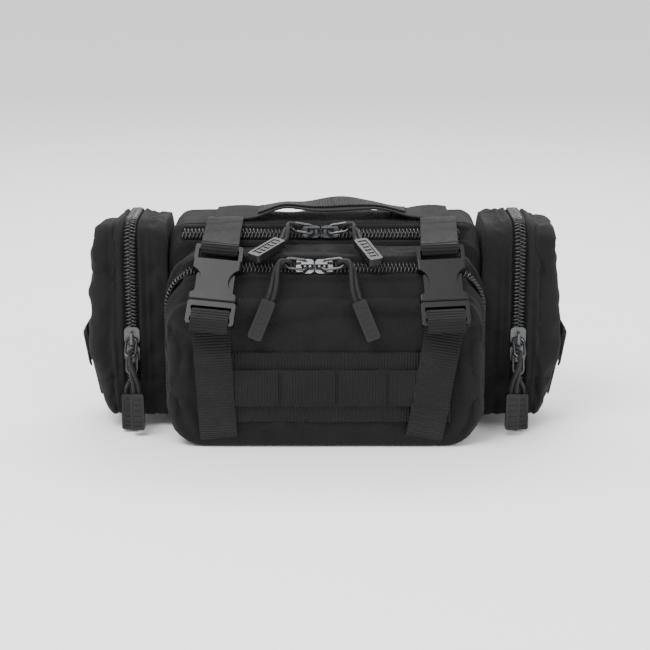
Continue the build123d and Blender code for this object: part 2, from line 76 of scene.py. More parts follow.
MAIN_NORMAL = Vector((0, -MAIN_SLOPE.z, MAIN_SLOPE.y))


# ---------------------------------------------------------------- materials
class Shade:
    """A few node-building shortcuts around one Principled material."""

    def __init__(self, name, color, roughness, **sockets):
        self.material = bpy.data.materials.new(name)
        self.material.use_nodes = True
        self.tree = self.material.node_tree
        self.shader = self.tree.nodes["Principled BSDF"]
        self.shader.inputs["Base Color"].default_value = (*color, 1)
        self.shader.inputs["Roughness"].default_value = roughness
        for socket, value in sockets.items():
            self.shader.inputs[socket.replace("_", " ")].default_value = value
        self.coordinates = self.node("ShaderNodeTexCoord").outputs["Object"]
        self.normal = None

    def node(self, kind, **settings):
        made = self.tree.nodes.new(kind)
        for key, value in settings.items():
            setattr(made, key, value)
        return made

    def link(self, source, target):
        self.tree.links.new(source, target)

    def math(self, operation, a, b=None):
        made = self.node("ShaderNodeMath", operation=operation)
        for socket, value in zip(made.inputs, (a, b)):
            if value is None:
                continue
            if isinstance(value, (int, float)):
                socket.default_value = value
            else:
                self.link(value, socket)
        return made.outputs[0]

    def noise(self, scale, detail=3.0, source=None):
        made = self.node("ShaderNodeTexNoise")
        made.inputs["Scale"].default_value = scale
        made.inputs["Detail"].default_value = detail
        self.link(source or self.coordinates, made.inputs["Vector"])
        return made.outputs["Fac"]

    def waves(self, direction, pitch, source=None):
        """A sine ridge pattern of that pitch along one direction of the source coordinates."""
        dot = self.node("ShaderNodeVectorMath", operation="DOT_PRODUCT")
        self.link(source or self.coordinates, dot.inputs[0])
        dot.inputs[1].default_value = Vector(direction).normalized() * (2 * pi / pitch)
        return self.math("SINE", dot.outputs["Value"])

    def bump(self, height, distance, strength=1.0):
        made = self.node("ShaderNodeBump")
        made.inputs["Distance"].default_value = distance
        made.inputs["Strength"].default_value = strength
        self.link(height, made.inputs["Height"])
        if self.normal:
            self.link(self.normal, made.inputs["Normal"])
        self.normal = made.outputs["Normal"]
        self.link(self.normal, self.shader.inputs["Normal"])

    def vary(self, socket, factor, low, high):
        """Drives a socket between two values or colours by a 0 to 1 pattern."""
        ramp = self.node("ShaderNodeMapRange")
        if isinstance(low, tuple):
            ramp = self.node("ShaderNodeMix", data_type="RGBA")
            self.link(factor, ramp.inputs["Factor"])
            ramp.inputs["A"].default_value = (*low, 1)
            ramp.inputs["B"].default_value = (*high, 1)
            self.link(ramp.outputs["Result"], self.shader.inputs[socket])
            return
        self.link(factor, ramp.inputs["Value"])
        ramp.inputs["To Min"].default_value = low
        ramp.inputs["To Max"].default_value = high
        self.link(ramp.outputs["Result"], self.shader.inputs[socket])


def woven_nylon(name, shade=1.0):
    """Coarse black nylon: two crossing thread directions on every face, faint dust and handling marks."""
    dark = tuple(c * shade for c in (0.0042, 0.0042, 0.0045))
    light = tuple(c * shade for c in (0.0105, 0.0105, 0.0112))
    made = Shade(name, dark, 0.78, Sheen_Weight=0.035, Sheen_Roughness=0.45, Specular_IOR_Level=0.13)
    pitch = 1.15 * MM
    threads = made.math("MULTIPLY", made.waves((1, 1, 0), pitch), made.waves((0, 1, 1), pitch))
    straight = made.math("MULTIPLY", made.waves((1, 0, 0), pitch), made.waves((0, 0, 1), pitch))
    threads = made.math("ADD", threads, straight)
    cloudy = made.noise(38.0, 4.0)
    made.vary("Base Color", cloudy, dark, light)
    made.vary("Roughness", made.noise(90.0), 0.68, 0.9)
    made.bump(threads, 0.00016, 0.8)
    made.bump(made.noise(320.0, 4.0), 0.0005, 0.45)
    made.bump(cloudy, 0.002, 0.3)
    return made.material


def ribbed_webbing(name):
    """Nylon webbing: ribs across the band, fine threads along it and a dull sheen on the rib tops."""
    made = Shade(
        name, (0.005, 0.005, 0.0053), 0.62, Sheen_Weight=0.04, Sheen_Roughness=0.4, Specular_IOR_Level=0.16
    )
    along = made.node("ShaderNodeTexCoord").outputs["UV"]
    ribs = made.waves((1, 0, 0), 1.9 * MM, along)
    threads = made.waves((0.35, 1, 0), 0.9 * MM, along)
    worn = made.noise(60.0, 4.0)
    made.vary("Base Color", worn, (0.004, 0.004, 0.0042), (0.0105, 0.0105, 0.0112))
    made.vary("Roughness", made.noise(300.0), 0.5, 0.78)
    made.bump(ribs, 0.00042, 1.0)
    made.bump(threads, 0.0001, 0.7)
    return made.material


def moulded(name, color, low, high, grain, coat=0.0):
    """Moulded plastic or rubber: a fine grain, uneven gloss and slightly lighter patches."""
    made = Shade(
        name, color, (low + high) / 2, Specular_IOR_Level=0.24, Coat_Weight=coat, Coat_Roughness=0.25
    )
    soft = made.noise(45.0, 4.0)
    made.vary("Roughness", soft, low, high)
    lighter = tuple(c * 1.45 for c in color)
    made.vary("Base Color", made.noise(25.0, 5.0), color, lighter)
    made.bump(made.noise(2600.0, 2.0), grain, 0.5)
    made.bump(soft, 0.0003, 0.2)
    return made.material


def enamel(name, color, roughness, metallic):
    """Enamelled metal, its gloss and colour worn unevenly."""
    made = Shade(name, color, roughness, Metallic=metallic, Coat_Weight=0.6, Coat_Roughness=0.12)
    worn = made.noise(420.0, 5.0)
    made.vary("Roughness", worn, roughness * 0.7, roughness * 1.5)
    made.vary("Base Color", made.noise(160.0, 4.0), color, tuple(c * 1.6 for c in color))
    made.bump(worn, 0.00006, 0.4)
    return made.material


def braided(name):
    """Braided cord: strands that cross each other round it, and a fine fuzz."""
    made = Shade(
        name, (0.007, 0.007, 0.0073), 0.6, Sheen_Weight=0.06, Sheen_Roughness=0.4, Specular_IOR_Level=0.2
    )
    along = made.node("ShaderNodeTexCoord").outputs["UV"]
    braid = made.math("MULTIPLY", made.waves((110, 5, 0), 0.9, along), made.waves((110, -5, 0), 0.9, along))
    made.vary("Base Color", made.noise(500.0), (0.005, 0.005, 0.0053), (0.013, 0.013, 0.0136))
    made.bump(braid, 0.00018, 0.8)
    made.bump(made.noise(2200.0), 0.0001, 0.6)
    return made.material


FABRIC = woven_nylon("nylon_fabric")
FABRIC_WORN = woven_nylon("nylon_binding", 1.35)
WEBBING = ribbed_webbing("ribbed_webbing")
COIL = moulded("zip_coil", (0.012, 0.012, 0.0126), 0.2, 0.34, 0.00002, 0.35)
BUCKLE = moulded("buckle_acetal", (0.0025, 0.0026, 0.0028), 0.3, 0.44, 0.00005)
TAB = moulded("pull_rubber", (0.0065, 0.0065, 0.007), 0.32, 0.5, 0.00004, 0.06)
SLIDER = enamel("slider_gunmetal", (0.042, 0.043, 0.046), 0.3, 0.85)
RING = enamel("ring_black_enamel", (0.02, 0.02, 0.021), 0.16, 0.6)
CORD = braided("pull_cord")
THREAD = moulded("bonded_thread", (0.011, 0.011, 0.0116), 0.4, 0.6, 0.00003)


# ---------------------------------------------------------------- mesh helpers
def mesh_piece(name, verts, faces, material, body="pack", uvs=None):
    """A smooth-shaded mesh object on that body, or on none when body is None."""
    mesh = bpy.data.meshes.new(name)
    mesh.from_pydata([tuple(v) for v in verts], [], faces)
    mesh.materials.append(material)
    if uvs:
        layer = mesh.uv_layers.new(name="UVMap")
        for loop in mesh.loops:
            layer.data[loop.index].uv = uvs[loop.vertex_index]
    mesh.polygons.foreach_set("use_smooth", [True] * len(mesh.polygons))
    mesh.update()
    piece = bpy.data.objects.new(name, mesh)
    bpy.context.collection.objects.link(piece)
    if body:
        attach(piece, body)
    return piece


def step(t, low, high):
    """0 before low, 1 after high, smooth between."""
    t = min(max((t - low) / (high - low), 0.0), 1.0)
    return t * t * (3 - 2 * t)


def bell(t, width):
    """1 where t is 0, falling away smoothly on both sides."""
    return 2.718 ** (-((t / width) ** 2))


def smooth_path(points, spacing):
    """Points about that far apart on a Catmull-Rom curve through the given ones."""
    points = [Vector(p) for p in points]
    ends = [points[0] * 2 - points[1], *points, points[-1] * 2 - points[-2]]
    path = []
    for a, b, c, d in zip(ends, ends[1:], ends[2:], ends[3:]):
        count = max(2, round((c - b).length / spacing))
        for i in range(count):
            t = i / count
            square, cube = 2 * a - 5 * b + 4 * c - d, 3 * b - a - 3 * c + d
            path.append(0.5 * (2 * b + (c - a) * t + square * t**2 + cube * t**3))
    return path + [points[-1]]


def tube_rings(path, radius, sides, verts, faces):
    """Adds a round tube along the path to a growing mesh."""
    first = len(verts)
    side = (path[1] - path[0]).orthogonal().normalized()
    for i, point in enumerate(path):
        ahead = (path[min(i + 1, len(path) - 1)] - path[max(i - 1, 0)]).normalized()
        side = (side - ahead * side.dot(ahead)).normalized()
        up = ahead.cross(side)
        for k in range(sides):
            angle = 2 * pi * k / sides
            verts.append(point + (side * cos(angle) + up * sin(angle)) * radius)
    for i in range(len(path) - 1):
        for k in range(sides):
            a, b = first + i * sides + k, first + i * sides + (k + 1) % sides
            faces.append((a, b, b + sides, a + sides))
    faces.append(tuple(first + k for k in reversed(range(sides))))
    faces.append(tuple(first + (len(path) - 1) * sides + k for k in range(sides)))


def band(
    name, points, widths, width=WEB, thickness=STRAP_THICK, material=WEBBING, body="pack", spacing=1.6 * MM
):
    """A webbing strip: centre points with the width's direction at each, rounded selvedges, UVs in metres."""
    path = smooth_path(points, spacing)
    steps = len(points) - 1
    half, thick = width / 2, thickness / 2
    underside = [(-1, -0.3), (-0.985, -0.8), (-0.9, -1), (-0.45, -1), (0, -1)]
    underside += [(-a, b) for a, b in reversed(underside[:-1])]
    profile = underside + [(-a, -b) for a, b in underside]
    verts, faces, uvs = [], [], []
    travelled = 0.0
    keys = [Vector(w).normalized() for w in widths]
    lengths = [0.0]
    for a, b in zip(points, points[1:]):
        lengths.append(lengths[-1] + (Vector(b) - Vector(a)).length)
    total_path = sum((b - a).length for a, b in zip(path, path[1:]))
    for i, point in enumerate(path):
        if i:
            travelled += (point - path[i - 1]).length
        share = travelled / total_path * lengths[-1]
        k = min(sum(1 for length in lengths[1:-1] if share > length), steps - 1)
        t = step(share, lengths[k], lengths[k + 1])
        side = keys[k].lerp(keys[k + 1], t).normalized()
        ahead = (path[min(i + 1, len(path) - 1)] - path[max(i - 1, 0)]).normalized()
        side = (side - ahead * side.dot(ahead)).normalized()
        up = side.cross(ahead)
        for a, b in profile:
            verts.append(point + side * (a * half) + up * (b * thick))
            uvs.append((travelled, a * half))
    n = len(profile)
    for i in range(len(path) - 1):
        for k in range(n):
            a, b = i * n + k, i * n + (k + 1) % n
            faces.append((a, b, b + n, a + n))
    faces.append(tuple(reversed(range(n))))
    faces.append(tuple((len(path) - 1) * n + k for k in range(n)))
    return mesh_piece(name, verts, faces, material, body, uvs)


# ---------------------------------------------------------------- sewn shells
CORNER_STEPS = 10
EDGE_STEPS = 5


def outline(low_a, high_a, low_b, high_b, radii, steps_a, steps_b):
    """A rounded rectangle as points, anticlockwise from the low corner, the same count whatever its size."""
    limit = min(high_a - low_a, high_b - low_b) / 2
    radii = [min(max(r, 0.2 * MM), limit * 0.999) for r in radii]
    corners = (
        (low_a, low_b, pi), (high_a, low_b, 1.5 * pi), (high_a, high_b, 0), (low_a, high_b, 0.5 * pi),
    )
    arcs = []
    for (a, b, start), r in zip(corners, radii):
        centre_a = a + r if a == low_a else a - r
        centre_b = b + r if b == low_b else b - r
        arc = []
        for k in range(CORNER_STEPS + 1):
            angle = start + k / CORNER_STEPS * pi / 2
            arc.append((centre_a + r * cos(angle), centre_b + r * sin(angle)))
        arcs.append(arc)
    points = []
    for i, arc in enumerate(arcs):
        points += arc
        after = arcs[(i + 1) % 4][0]
        count = steps_a if i % 2 == 0 else steps_b
        for k in range(1, count):
            t = k / count
            points.append((arc[-1][0] * (1 - t) + after[0] * t, arc[-1][1] * (1 - t) + after[1] * t))
    return points


def shell_mesh(sections, place):
    """Vertices, side faces and point count of a run of outlines, open at both ends."""
    verts = [place(a, b, depth) for points, depth in sections for a, b in points]
    n = len(sections[0][0])
    faces = []
    for i in range(len(sections) - 1):
        for k in range(n):
            a, b = i * n + k, i * n + (k + 1) % n
            faces.append((a, b, b + n, a + n))
    return verts, faces, n


def displace(piece, shift):
    """Moves each vertex along its own normal by shift(position, normal)."""
    mesh = piece.data
    normals = [v.normal.copy() for v in mesh.vertices]
    for vertex, normal in zip(mesh.vertices, normals):
        vertex.co = vertex.co + normal * shift(vertex.co, normal)
    mesh.update()


def ripple(p, seed, long, short, fine):
    """Soft fabric relief: broad hollows, folds and small puckers, in metres."""
    q = Vector(p) / MM
    offset = Vector((seed * 17.3, seed * 5.1, seed * 9.7))
    broad = noise.noise(q / 46 + offset) * long
    fold = noise.noise(Vector((q.x / 22, q.y / 26, q.z / 13)) + offset) * short
    pucker = noise.noise(q / 6.5 + offset) * fine
    return (broad + fold + pucker) * MM


def channel(s, depth=1.7, half=5.0, lip=0.9):
    """The cross-section of a sewn-in zip: a sunk tape between two turned fabric edges, s in metres."""
    s = abs(s) / MM
    sunk = -depth * (1 - step(s, half, half + 0.9))
    edge = lip * bell(s - half - 1.6, 1.7)
    seam = -0.55 * bell(s - half - 5.2, 0.8)
    return (sunk + edge + seam) * MM


def ramp_steps(low, high, spacing):
    count = max(1, round(abs(high - low) / spacing))
    return [low + (high - low) * i / count for i in range(count)]


def box_sections(depths, size_at, edge, steps):
    """Outlines along the depth, then round the edge by that radius, then in across the far face."""
    sections = [(outline(*size_at(depth), *steps), depth) for depth in depths]
    far, sign = depths[-1], 1 if depths[-1] > depths[0] else -1
    low_a, high_a, low_b, high_b, radii = size_at(far)

    def inset(amount, depth):
        shrunk = [max(r - amount, 1.5 * MM) for r in radii]
        box = (low_a + amount, high_a - amount, low_b + amount, high_b - amount)
        return outline(*box, shrunk, *steps), depth

    for k in range(1, EDGE_STEPS + 1):
        angle = k / EDGE_STEPS * pi / 2
        sections.append(inset(edge * (1 - cos(angle)), far + sign * edge * sin(angle)))
    deepest = min(high_a - low_a, high_b - low_b) / 2 - 0.3 * MM
    for amount in ramp_steps(edge, deepest, 2.2 * MM)[1:] + [deepest]:
        sections.append(inset(amount, far + sign * edge))
    return sections


CLOTH_FRAMES = 16
CLOTH_CAP = 3.2 * MM
CLOTH_PRESSURE = 4
CLOTH_GROWTH = 0.02
CLOTH_BENDING = 1.5
HELD_BELOW = 0.05  # points with less looseness than this are pinned


def inflate(piece, looseness):
    """Blows the fabric up a little as cloth, held where looseness is 0, and moves no point past the cap."""
    cloth = bpy.data.objects.new("cloth_trial", piece.data.copy())
    bpy.context.collection.objects.link(cloth)
    held = cloth.vertex_groups.new(name="held")
    loose = [looseness(v.co, v.normal) for v in cloth.data.vertices]
    for index, share in enumerate(loose):
        held.add([index], 1.0 if share < HELD_BELOW else 0.0, "REPLACE")
    solver = cloth.modifiers.new("Cloth", "CLOTH")
    solver.settings.quality = 4
    solver.settings.vertex_group_mass = "held"
    solver.settings.use_pressure = True
    solver.settings.uniform_pressure_force = CLOTH_PRESSURE
    solver.settings.shrink_min = -CLOTH_GROWTH
    solver.settings.bending_stiffness = CLOTH_BENDING
    solver.settings.effector_weights.gravity = 0
    solver.collision_settings.use_collision = False
    solver.point_cache.frame_end = CLOTH_FRAMES
    scene = bpy.context.scene
    for frame_number in range(1, CLOTH_FRAMES + 1):
        scene.frame_set(frame_number)
    settled = cloth.evaluated_get(bpy.context.evaluated_depsgraph_get()).data
    moves = [b.co - a.co for a, b in zip(piece.data.vertices, settled.vertices)]
    for vertex, move, share in zip(piece.data.vertices, moves, loose):
        if move.length > CLOTH_CAP:
            move *= CLOTH_CAP / move.length
        vertex.co += move * share
    scene.frame_set(1)
    bpy.data.objects.remove(cloth)
    piece.data.update()


def sewn_block(name, depths, size_at, edge, place, shift, looseness, replaced, steps):
    """A fabric compartment in one closed skin, blown up as cloth and then given its seams and folds."""
    sections = box_sections(depths, size_at, edge, steps)
    verts, faces, n = shell_mesh(sections, place)
    faces.append(tuple(range(n)))
    last = (len(sections) - 1) * n
    faces.append(tuple(last + k for k in reversed(range(n))))
    piece = mesh_piece(name, verts, faces, FABRIC)
    fix_normals(piece)
    inflate(piece, looseness)
    displace(piece, shift)
    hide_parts(*replaced)
    return piece


def fix_normals(piece):
    """Turns every face outward."""
    made = bmesh.new()
    made.from_mesh(piece.data)
    bmesh.ops.recalc_face_normals(made, faces=made.faces)
    made.to_mesh(piece.data)
    made.free()
    piece.data.update()


# Front pocket: the zip crosses the slope and runs down both side walls
FRONT_ZIP_Y = (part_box("front_zip_chain")[0].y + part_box("front_zip_chain")[1].y) / 2
ZIP_END_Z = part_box("front_zip_chain")[0].z
FRONT_EDGE = 5 * MM
FRONT_HALF = BAG_HALF - 0.5 * MM
FRONT_ROW_Z = 43 * MM  # middle of the webbing sewn on the face


def front_height(y):
    """The top's height at that depth, and the radius of its two upper corners there."""
    run = min(max((FRONT_LIP_Y - y) / (FRONT_LIP_Y - FRONT_Y), 0.0), 1.0)
    return POCKET_TOP - run * (POCKET_TOP - FRONT_LIP_Z), 30 * MM - 13 * MM * run


def front_size(y):
    height, top_radius = front_height(y)
    return -FRONT_HALF, FRONT_HALF, 0.3 * MM, height, [26 * MM, 26 * MM, top_radius, top_radius]


def along_front_zip(p):
    """Distance from the front zip's line, measured over the fabric from back to front."""
    on_slope = p.z > FRONT_LIP_Z - 4 * MM and abs(p.x) < BAG_HALF - 12 * MM
    steepness = 1 / FRONT_SLOPE.y if on_slope else 1.0
    return (p.y - FRONT_ZIP_Y) * steepness


def behind_tabs(p):
    """1 on the patch of the face that the front zip's two tabs hang against and slide over."""
    across = step(64 * MM - abs(p.x), 0, 10 * MM)
    return across * step(p.z, 62 * MM, 72 * MM) * (1 - step(p.z, 112 * MM, 118 * MM))


def front_shift(p, normal):
    """The zip's channel, the puffed face with its crease, folds and puckers, and the dent behind the tabs."""
    s = along_front_zip(p)
    face = step(-normal.y, 0.5, 0.95)
    held = bell(p.z - FRONT_ROW_Z, 30 * MM) * face * step(BAG_HALF - abs(p.x), 8 * MM, 26 * MM)
    loose = 1 - 0.85 * held
    floor = step(p.z, 1 * MM, 12 * MM)
    zipped = step(p.z, ZIP_END_Z - 6 * MM, ZIP_END_Z + 2 * MM)
    puff = 2.2 * MM * face * step(p.z, 2 * MM, 30 * MM) * (1 - held)
    crease = -2.0 * MM * bell(p.z - (89 * MM + 2.5 * MM * sin(p.x / MM / 23)), 3.0 * MM) * face
    crease *= step(BAG_HALF - abs(p.x), 26 * MM, 50 * MM)
    near_zip = step(abs(s), 5 * MM, 16 * MM)
    wave = ripple(p, 1, 2.4, 1.8, 0.7) * loose * floor * (0.25 + 0.75 * near_zip)
    corner = -1.5 * MM * bell(abs(p.x) - 80 * MM, 9 * MM) * face * bell(p.z - 12 * MM, 14 * MM)
    pressed = 1 - 0.92 * behind_tabs(p)
    dent = -0.8 * MM * behind_tabs(p) * step(-normal.y, 0.2, 0.6)
    return channel(s) * zipped + puff * pressed + crease + min(wave, wave * pressed) + corner + dent


def front_looseness(p, normal):
    """Held by the zip, the back seam, the base and the sewn webbing; loose on the rest of the face."""
    face = step(-normal.y, 0.5, 0.95)
    webbed = bell(p.z - FRONT_ROW_Z, 27 * MM) * step(BAG_HALF - abs(p.x), 8 * MM, 26 * MM) * face
    by_zip = step(abs(along_front_zip(p)), 9 * MM, 18 * MM)
    under_buckle = 1 - step(p.z, 84 * MM, 92 * MM) * step(abs(p.x), 52 * MM, 58 * MM)
    held = (1 - webbed) * (1 - behind_tabs(p)) * under_buckle
    return by_zip * held * step(p.z, 2 * MM, 14 * MM) * step(SEAM_Y - p.y, 2 * MM, 10 * MM)


front_depths = ramp_steps(SEAM_Y + 0.3 * MM, -28 * MM, 2 * MM)
front_depths += ramp_steps(-28 * MM, -51 * MM, 0.8 * MM) + [-51 * MM, -52 * MM, FRONT_Y + FRONT_EDGE]
sewn_block(
    "front_pocket_fabric",
    front_depths,
    front_size,
    FRONT_EDGE,
    lambda a, b, depth: Vector((a, depth, b)),
    front_shift,
    front_looseness,
    ["front_panel", "front_gusset"],
    steps=(90, 44),
)

# Main compartment: the zip crosses its own slope behind the front pocket
MAIN_ZIP_Y = (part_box("main_zip_chain")[0].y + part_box("main_zip_chain")[1].y) / 2
MAIN_ZIP_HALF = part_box("main_zip_chain")[1].x
MAIN_EDGE = 6 * MM
MAIN_SLACK = 0.25


def main_size(y):
    run = min(max((MAIN_LIP_Y - y) / (MAIN_LIP_Y - SEAM_Y), 0.0), 1.0)
    height = MAIN_TOP - 0.4 * MM - run * (MAIN_TOP - MAIN_LIP_Z)
    return -BAG_HALF, BAG_HALF, 0.3 * MM, height, [9 * MM, 9 * MM, 12 * MM, 12 * MM]


def main_shift(p, normal):
    s = (p.y - MAIN_ZIP_Y) / MAIN_SLOPE.y
    on_top = step(p.z, 115 * MM, 128 * MM)
    zipped = on_top * step(MAIN_ZIP_HALF - abs(p.x), -2 * MM, 3 * MM)
    hidden = step(BAG_HALF - abs(p.x), 0, 4 * MM)
    under_handle = bell(p.y - 25 * MM, 26 * MM) * on_top
    wave = ripple(p, 2, 2.0, 1.5, 0.5) * step(p.z, 1 * MM, 12 * MM) * (1 - 0.8 * under_handle) * hidden
    near_zip = step(abs(s), 5 * MM, 14 * MM)
    back = step(normal.y, 0.7, 0.95)
    return channel(s) * zipped + wave * (0.25 + 0.75 * near_zip) * (1 - 0.9 * back) - 0.4 * MM


def main_looseness(p, normal):
    """Only the top behind the zip is loose: pockets, straps and webbing hold the rest."""
    behind_zip = step(p.y, 10 * MM, 20 * MM)
    on_top = step(p.z, 118 * MM, 132 * MM) * behind_zip * step(BACK_Y - p.y, 2 * MM, 10 * MM)
    return MAIN_SLACK * on_top


main_depths = ramp_steps(SEAM_Y + 0.2 * MM, 10 * MM, 0.8 * MM) + ramp_steps(10 * MM, BACK_Y - 7 * MM, 3 * MM)
sewn_block(
    "main_compartment_fabric",
    main_depths + [BACK_Y - 6.5 * MM],
    main_size,
    MAIN_EDGE,
    lambda a, b, depth: Vector((a, depth, b)),
    main_shift,
    main_looseness,
    ["main_gusset", "main_front_panel", "back_panel"],
    steps=(90, 44),
)

# End pockets: the zip runs up the front, over the top and down the back
SIDE_EDGE = 11 * MM
SIDE_ZIP_X = (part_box("right_pocket_zip_chain")[0].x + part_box("right_pocket_zip_chain")[1].x) / 2
SIDE_SEAM_Z = 36 * MM
SIDE_ZIP_RADIUS = 18 * MM
SIDE_TAPER = 13 * MM


def side_size(x):
    """Front, back, bottom and top of an end pocket, drawn in a little towards its outer end."""
    out = step(x, SIDE_ZIP_X, SIDE_OUT)
    top = SIDE_HIGH.z - 3.5 * MM * out - 2.0 * MM * bell(x - BAG_HALF, 7 * MM)
    radii = [13 * MM, 13 * MM, 19 * MM, 17 * MM]
    return SIDE_LOW.y, SIDE_HIGH.y, SIDE_LOW.z, top, radii


def side_shift(sign):
    def shift(p, normal):
        x = abs(p.x)
        s = x - SIDE_ZIP_X
        zipped = step(p.z, SIDE_SEAM_Z - 4 * MM, SIDE_SEAM_Z + 1 * MM)
        at_bag = step(x, BAG_HALF, BAG_HALF + 9 * MM)
        front = step(-normal.y, 0.4, 0.9)
        from_seam = p.z - SIDE_SEAM_Z + 0.8 * MM * sin(x / MM / 5)
        seam = -1.3 * MM * bell(from_seam, 1.8 * MM) * (front + step(normal.y, 0.4, 0.9))
        beside_zip = bell(s - 15 * MM, 1.5 * MM) + bell(s + 15 * MM, 1.5 * MM)
        sides = -1.1 * MM * beside_zip * step(abs(normal.x), 0.98, 0.5)
        wave = ripple(p, 4 + sign, 3.0, 2.6, 0.8) * at_bag * (0.2 + 0.8 * step(abs(s), 5 * MM, 15 * MM))
        outer = step(abs(normal.x), 0.5, 0.95)
        wave *= 1 - 0.6 * outer * (1 - step(p.z, 66 * MM, 84 * MM))
        drawn = -4.0 * MM * outer * step(p.z, 104 * MM, 146 * MM)
        return channel(s, 1.7, 5.2, 1.1) * zipped + seam + sides + wave + drawn

    return shift


def side_looseness(p, normal):
    """Held by the zip, the main compartment, the base seam and the outer webbing."""
    x = abs(p.x)
    webbed = step(abs(normal.x), 0.5, 0.95) * bell(p.z - 46 * MM, 30 * MM)
    by_zip = step(abs(x - SIDE_ZIP_X), 8 * MM, 17 * MM)
    return by_zip * (1 - webbed) * step(x - BAG_HALF, 3 * MM, 12 * MM) * step(p.z, 12 * MM, 24 * MM)


def taper(z):
    """How far the outer wall of an end pocket hangs inward, lower down."""
    return SIDE_TAPER * (1 - step(z, 2 * MM, 66 * MM))


def hang_inward(piece):
    """Leans the outer part of an end pocket in towards its bottom, leaving the zip where it is."""
    for vertex in piece.data.vertices:
        x = abs(vertex.co.x)
        share = step(x, SIDE_ZIP_X + 7 * MM, SIDE_OUT)
        vertex.co.x -= (1 if vertex.co.x > 0 else -1) * taper(vertex.co.z) * share
    piece.data.update()


for side, sign in (("left", -1), ("right", 1)):
    side_depths = ramp_steps(BAG_HALF + 0.3 * MM, SIDE_ZIP_X - 14 * MM, 1.6 * MM)
    side_depths += ramp_steps(SIDE_ZIP_X - 14 * MM, SIDE_ZIP_X + 14 * MM, 0.8 * MM)
    side_depths += ramp_steps(SIDE_ZIP_X + 14 * MM, SIDE_OUT - SIDE_EDGE, 1.6 * MM) + [SIDE_OUT - SIDE_EDGE]
    pocket = sewn_block(
        f"{side}_pocket_fabric",
        side_depths,
        side_size,
        SIDE_EDGE,
        lambda a, b, depth, sign=sign: Vector((sign * depth, a, b)),
        side_shift(sign),
        side_looseness,
        [f"{side}_pocket_gusset", f"{side}_pocket_panel"],
        steps=(26, 56),
    )
    hang_inward(pocket)


# ---------------------------------------------------------------- zips
TOOTH_PITCH = 2.5 * MM
TOOTH_WIRE = 0.62 * MM
CHAIN_SINK = 1.3 * MM  # the coil's base below the fabric's face
TAPE_HALF = 5.0 * MM
ARCH_STEPS = 8
# One turn of a coil: across the chain and up in mm, and along it in pitches
TOOTH_TURN = (
    (4.1, 0.4, 0.0), (3.2, 1.55, 0.1), (0.9, 1.9, 0.3), (-0.7, 1.25, 0.4), (-0.5, 0.2, 0.5), (3.0, -0.2, 0.8),
)


def coil(name, path, outward, across_at, replaced):
    """Two meshed nylon coils along the path, each turn a rounded tooth that crosses the chain's middle."""
    verts, faces = [], []
    lengths = [0.0]
    for a, b in zip(path, path[1:]):
        lengths.append(lengths[-1] + (b - a).length)

    def at(distance):
        distance = min(max(distance, 0.0), lengths[-1] - 1e-6)
        low = 0
        high = len(lengths) - 1
        while high - low > 1:
            middle = (low + high) // 2
            low, high = (middle, high) if lengths[middle] <= distance else (low, middle)
        t = (distance - lengths[low]) / (lengths[high] - lengths[low])
        return path[low].lerp(path[high], t)

    for half in (-1, 1):
        line = []
        for i in range(int(lengths[-1] / TOOTH_PITCH)):
            for across, rise, ahead in TOOTH_TURN:
                distance = (i + ahead + (0.5 if half > 0 else 0.0)) * TOOTH_PITCH
                base = at(distance)
                lift = rise * MM - CHAIN_SINK + 0.4 * MM
                line.append(base + across_at(base) * (half * across * MM) + outward(base) * lift)
        tube_rings(line, TOOTH_WIRE, 6, verts, faces)
    piece = mesh_piece(name, verts, faces, COIL)
    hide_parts(replaced)


def tape(name, path, outward, across_at):
    """The woven tape at the bottom of the zip's channel."""
    points = [p - outward(p) * (CHAIN_SINK + 0.1 * MM) for p in path]
    band(name, points, [across_at(p) for p in path], 2 * TAPE_HALF, 0.5 * MM, TAPE, spacing=2 * MM)


TAPE = woven_nylon("zip_tape", 0.8)


def arch_path(low_a, high_a, high_b, radius, start_b):
    """Up one side, over the top and down the other: points about 3 mm apart, as (a, b) pairs."""
    points = [(low_a, b) for b in ramp_steps(start_b, high_b - radius, 3 * MM)]
    for k in range(ARCH_STEPS + 1):
        angle = pi - k / ARCH_STEPS * pi / 2
        points.append((low_a + radius + radius * cos(angle), high_b - radius + radius * sin(angle)))
    points += [(a, high_b) for a in ramp_steps(low_a + radius, high_a - radius, 3 * MM)[1:]]
    for k in range(ARCH_STEPS + 1):
        angle = pi / 2 - k / ARCH_STEPS * pi / 2
        points.append((high_a - radius + radius * cos(angle), high_b - radius + radius * sin(angle)))
    points += [(high_a, b) for b in reversed(ramp_steps(start_b, high_b - radius, 3 * MM))]
    return points


front_top, front_radius = front_height(FRONT_ZIP_Y)
front_arch = arch_path(-FRONT_HALF, FRONT_HALF, front_top, front_radius, ZIP_END_Z)
front_zip_path = [Vector((a, FRONT_ZIP_Y, b)) for a, b in front_arch]


def blend_side(p):
    """0 on the top of the front pocket, 1 on its side walls."""
    return step(abs(p.x), BAG_HALF - front_radius, BAG_HALF - 3 * MM)


def front_out(p):
    side = blend_side(p)
    wall = Vector((1 if p.x > 0 else -1, -0.12, 0))
    return (FRONT_NORMAL * (1 - side) + wall * side).normalized()


def front_across(p):
    side = blend_side(p)
    return (FRONT_SLOPE * (1 - side) + Vector((0, 1, 0)) * side).normalized()


coil("front_zip_coil", front_zip_path, front_out, front_across, "front_zip_chain")
tape("front_zip_tape", front_zip_path, front_out, front_across)

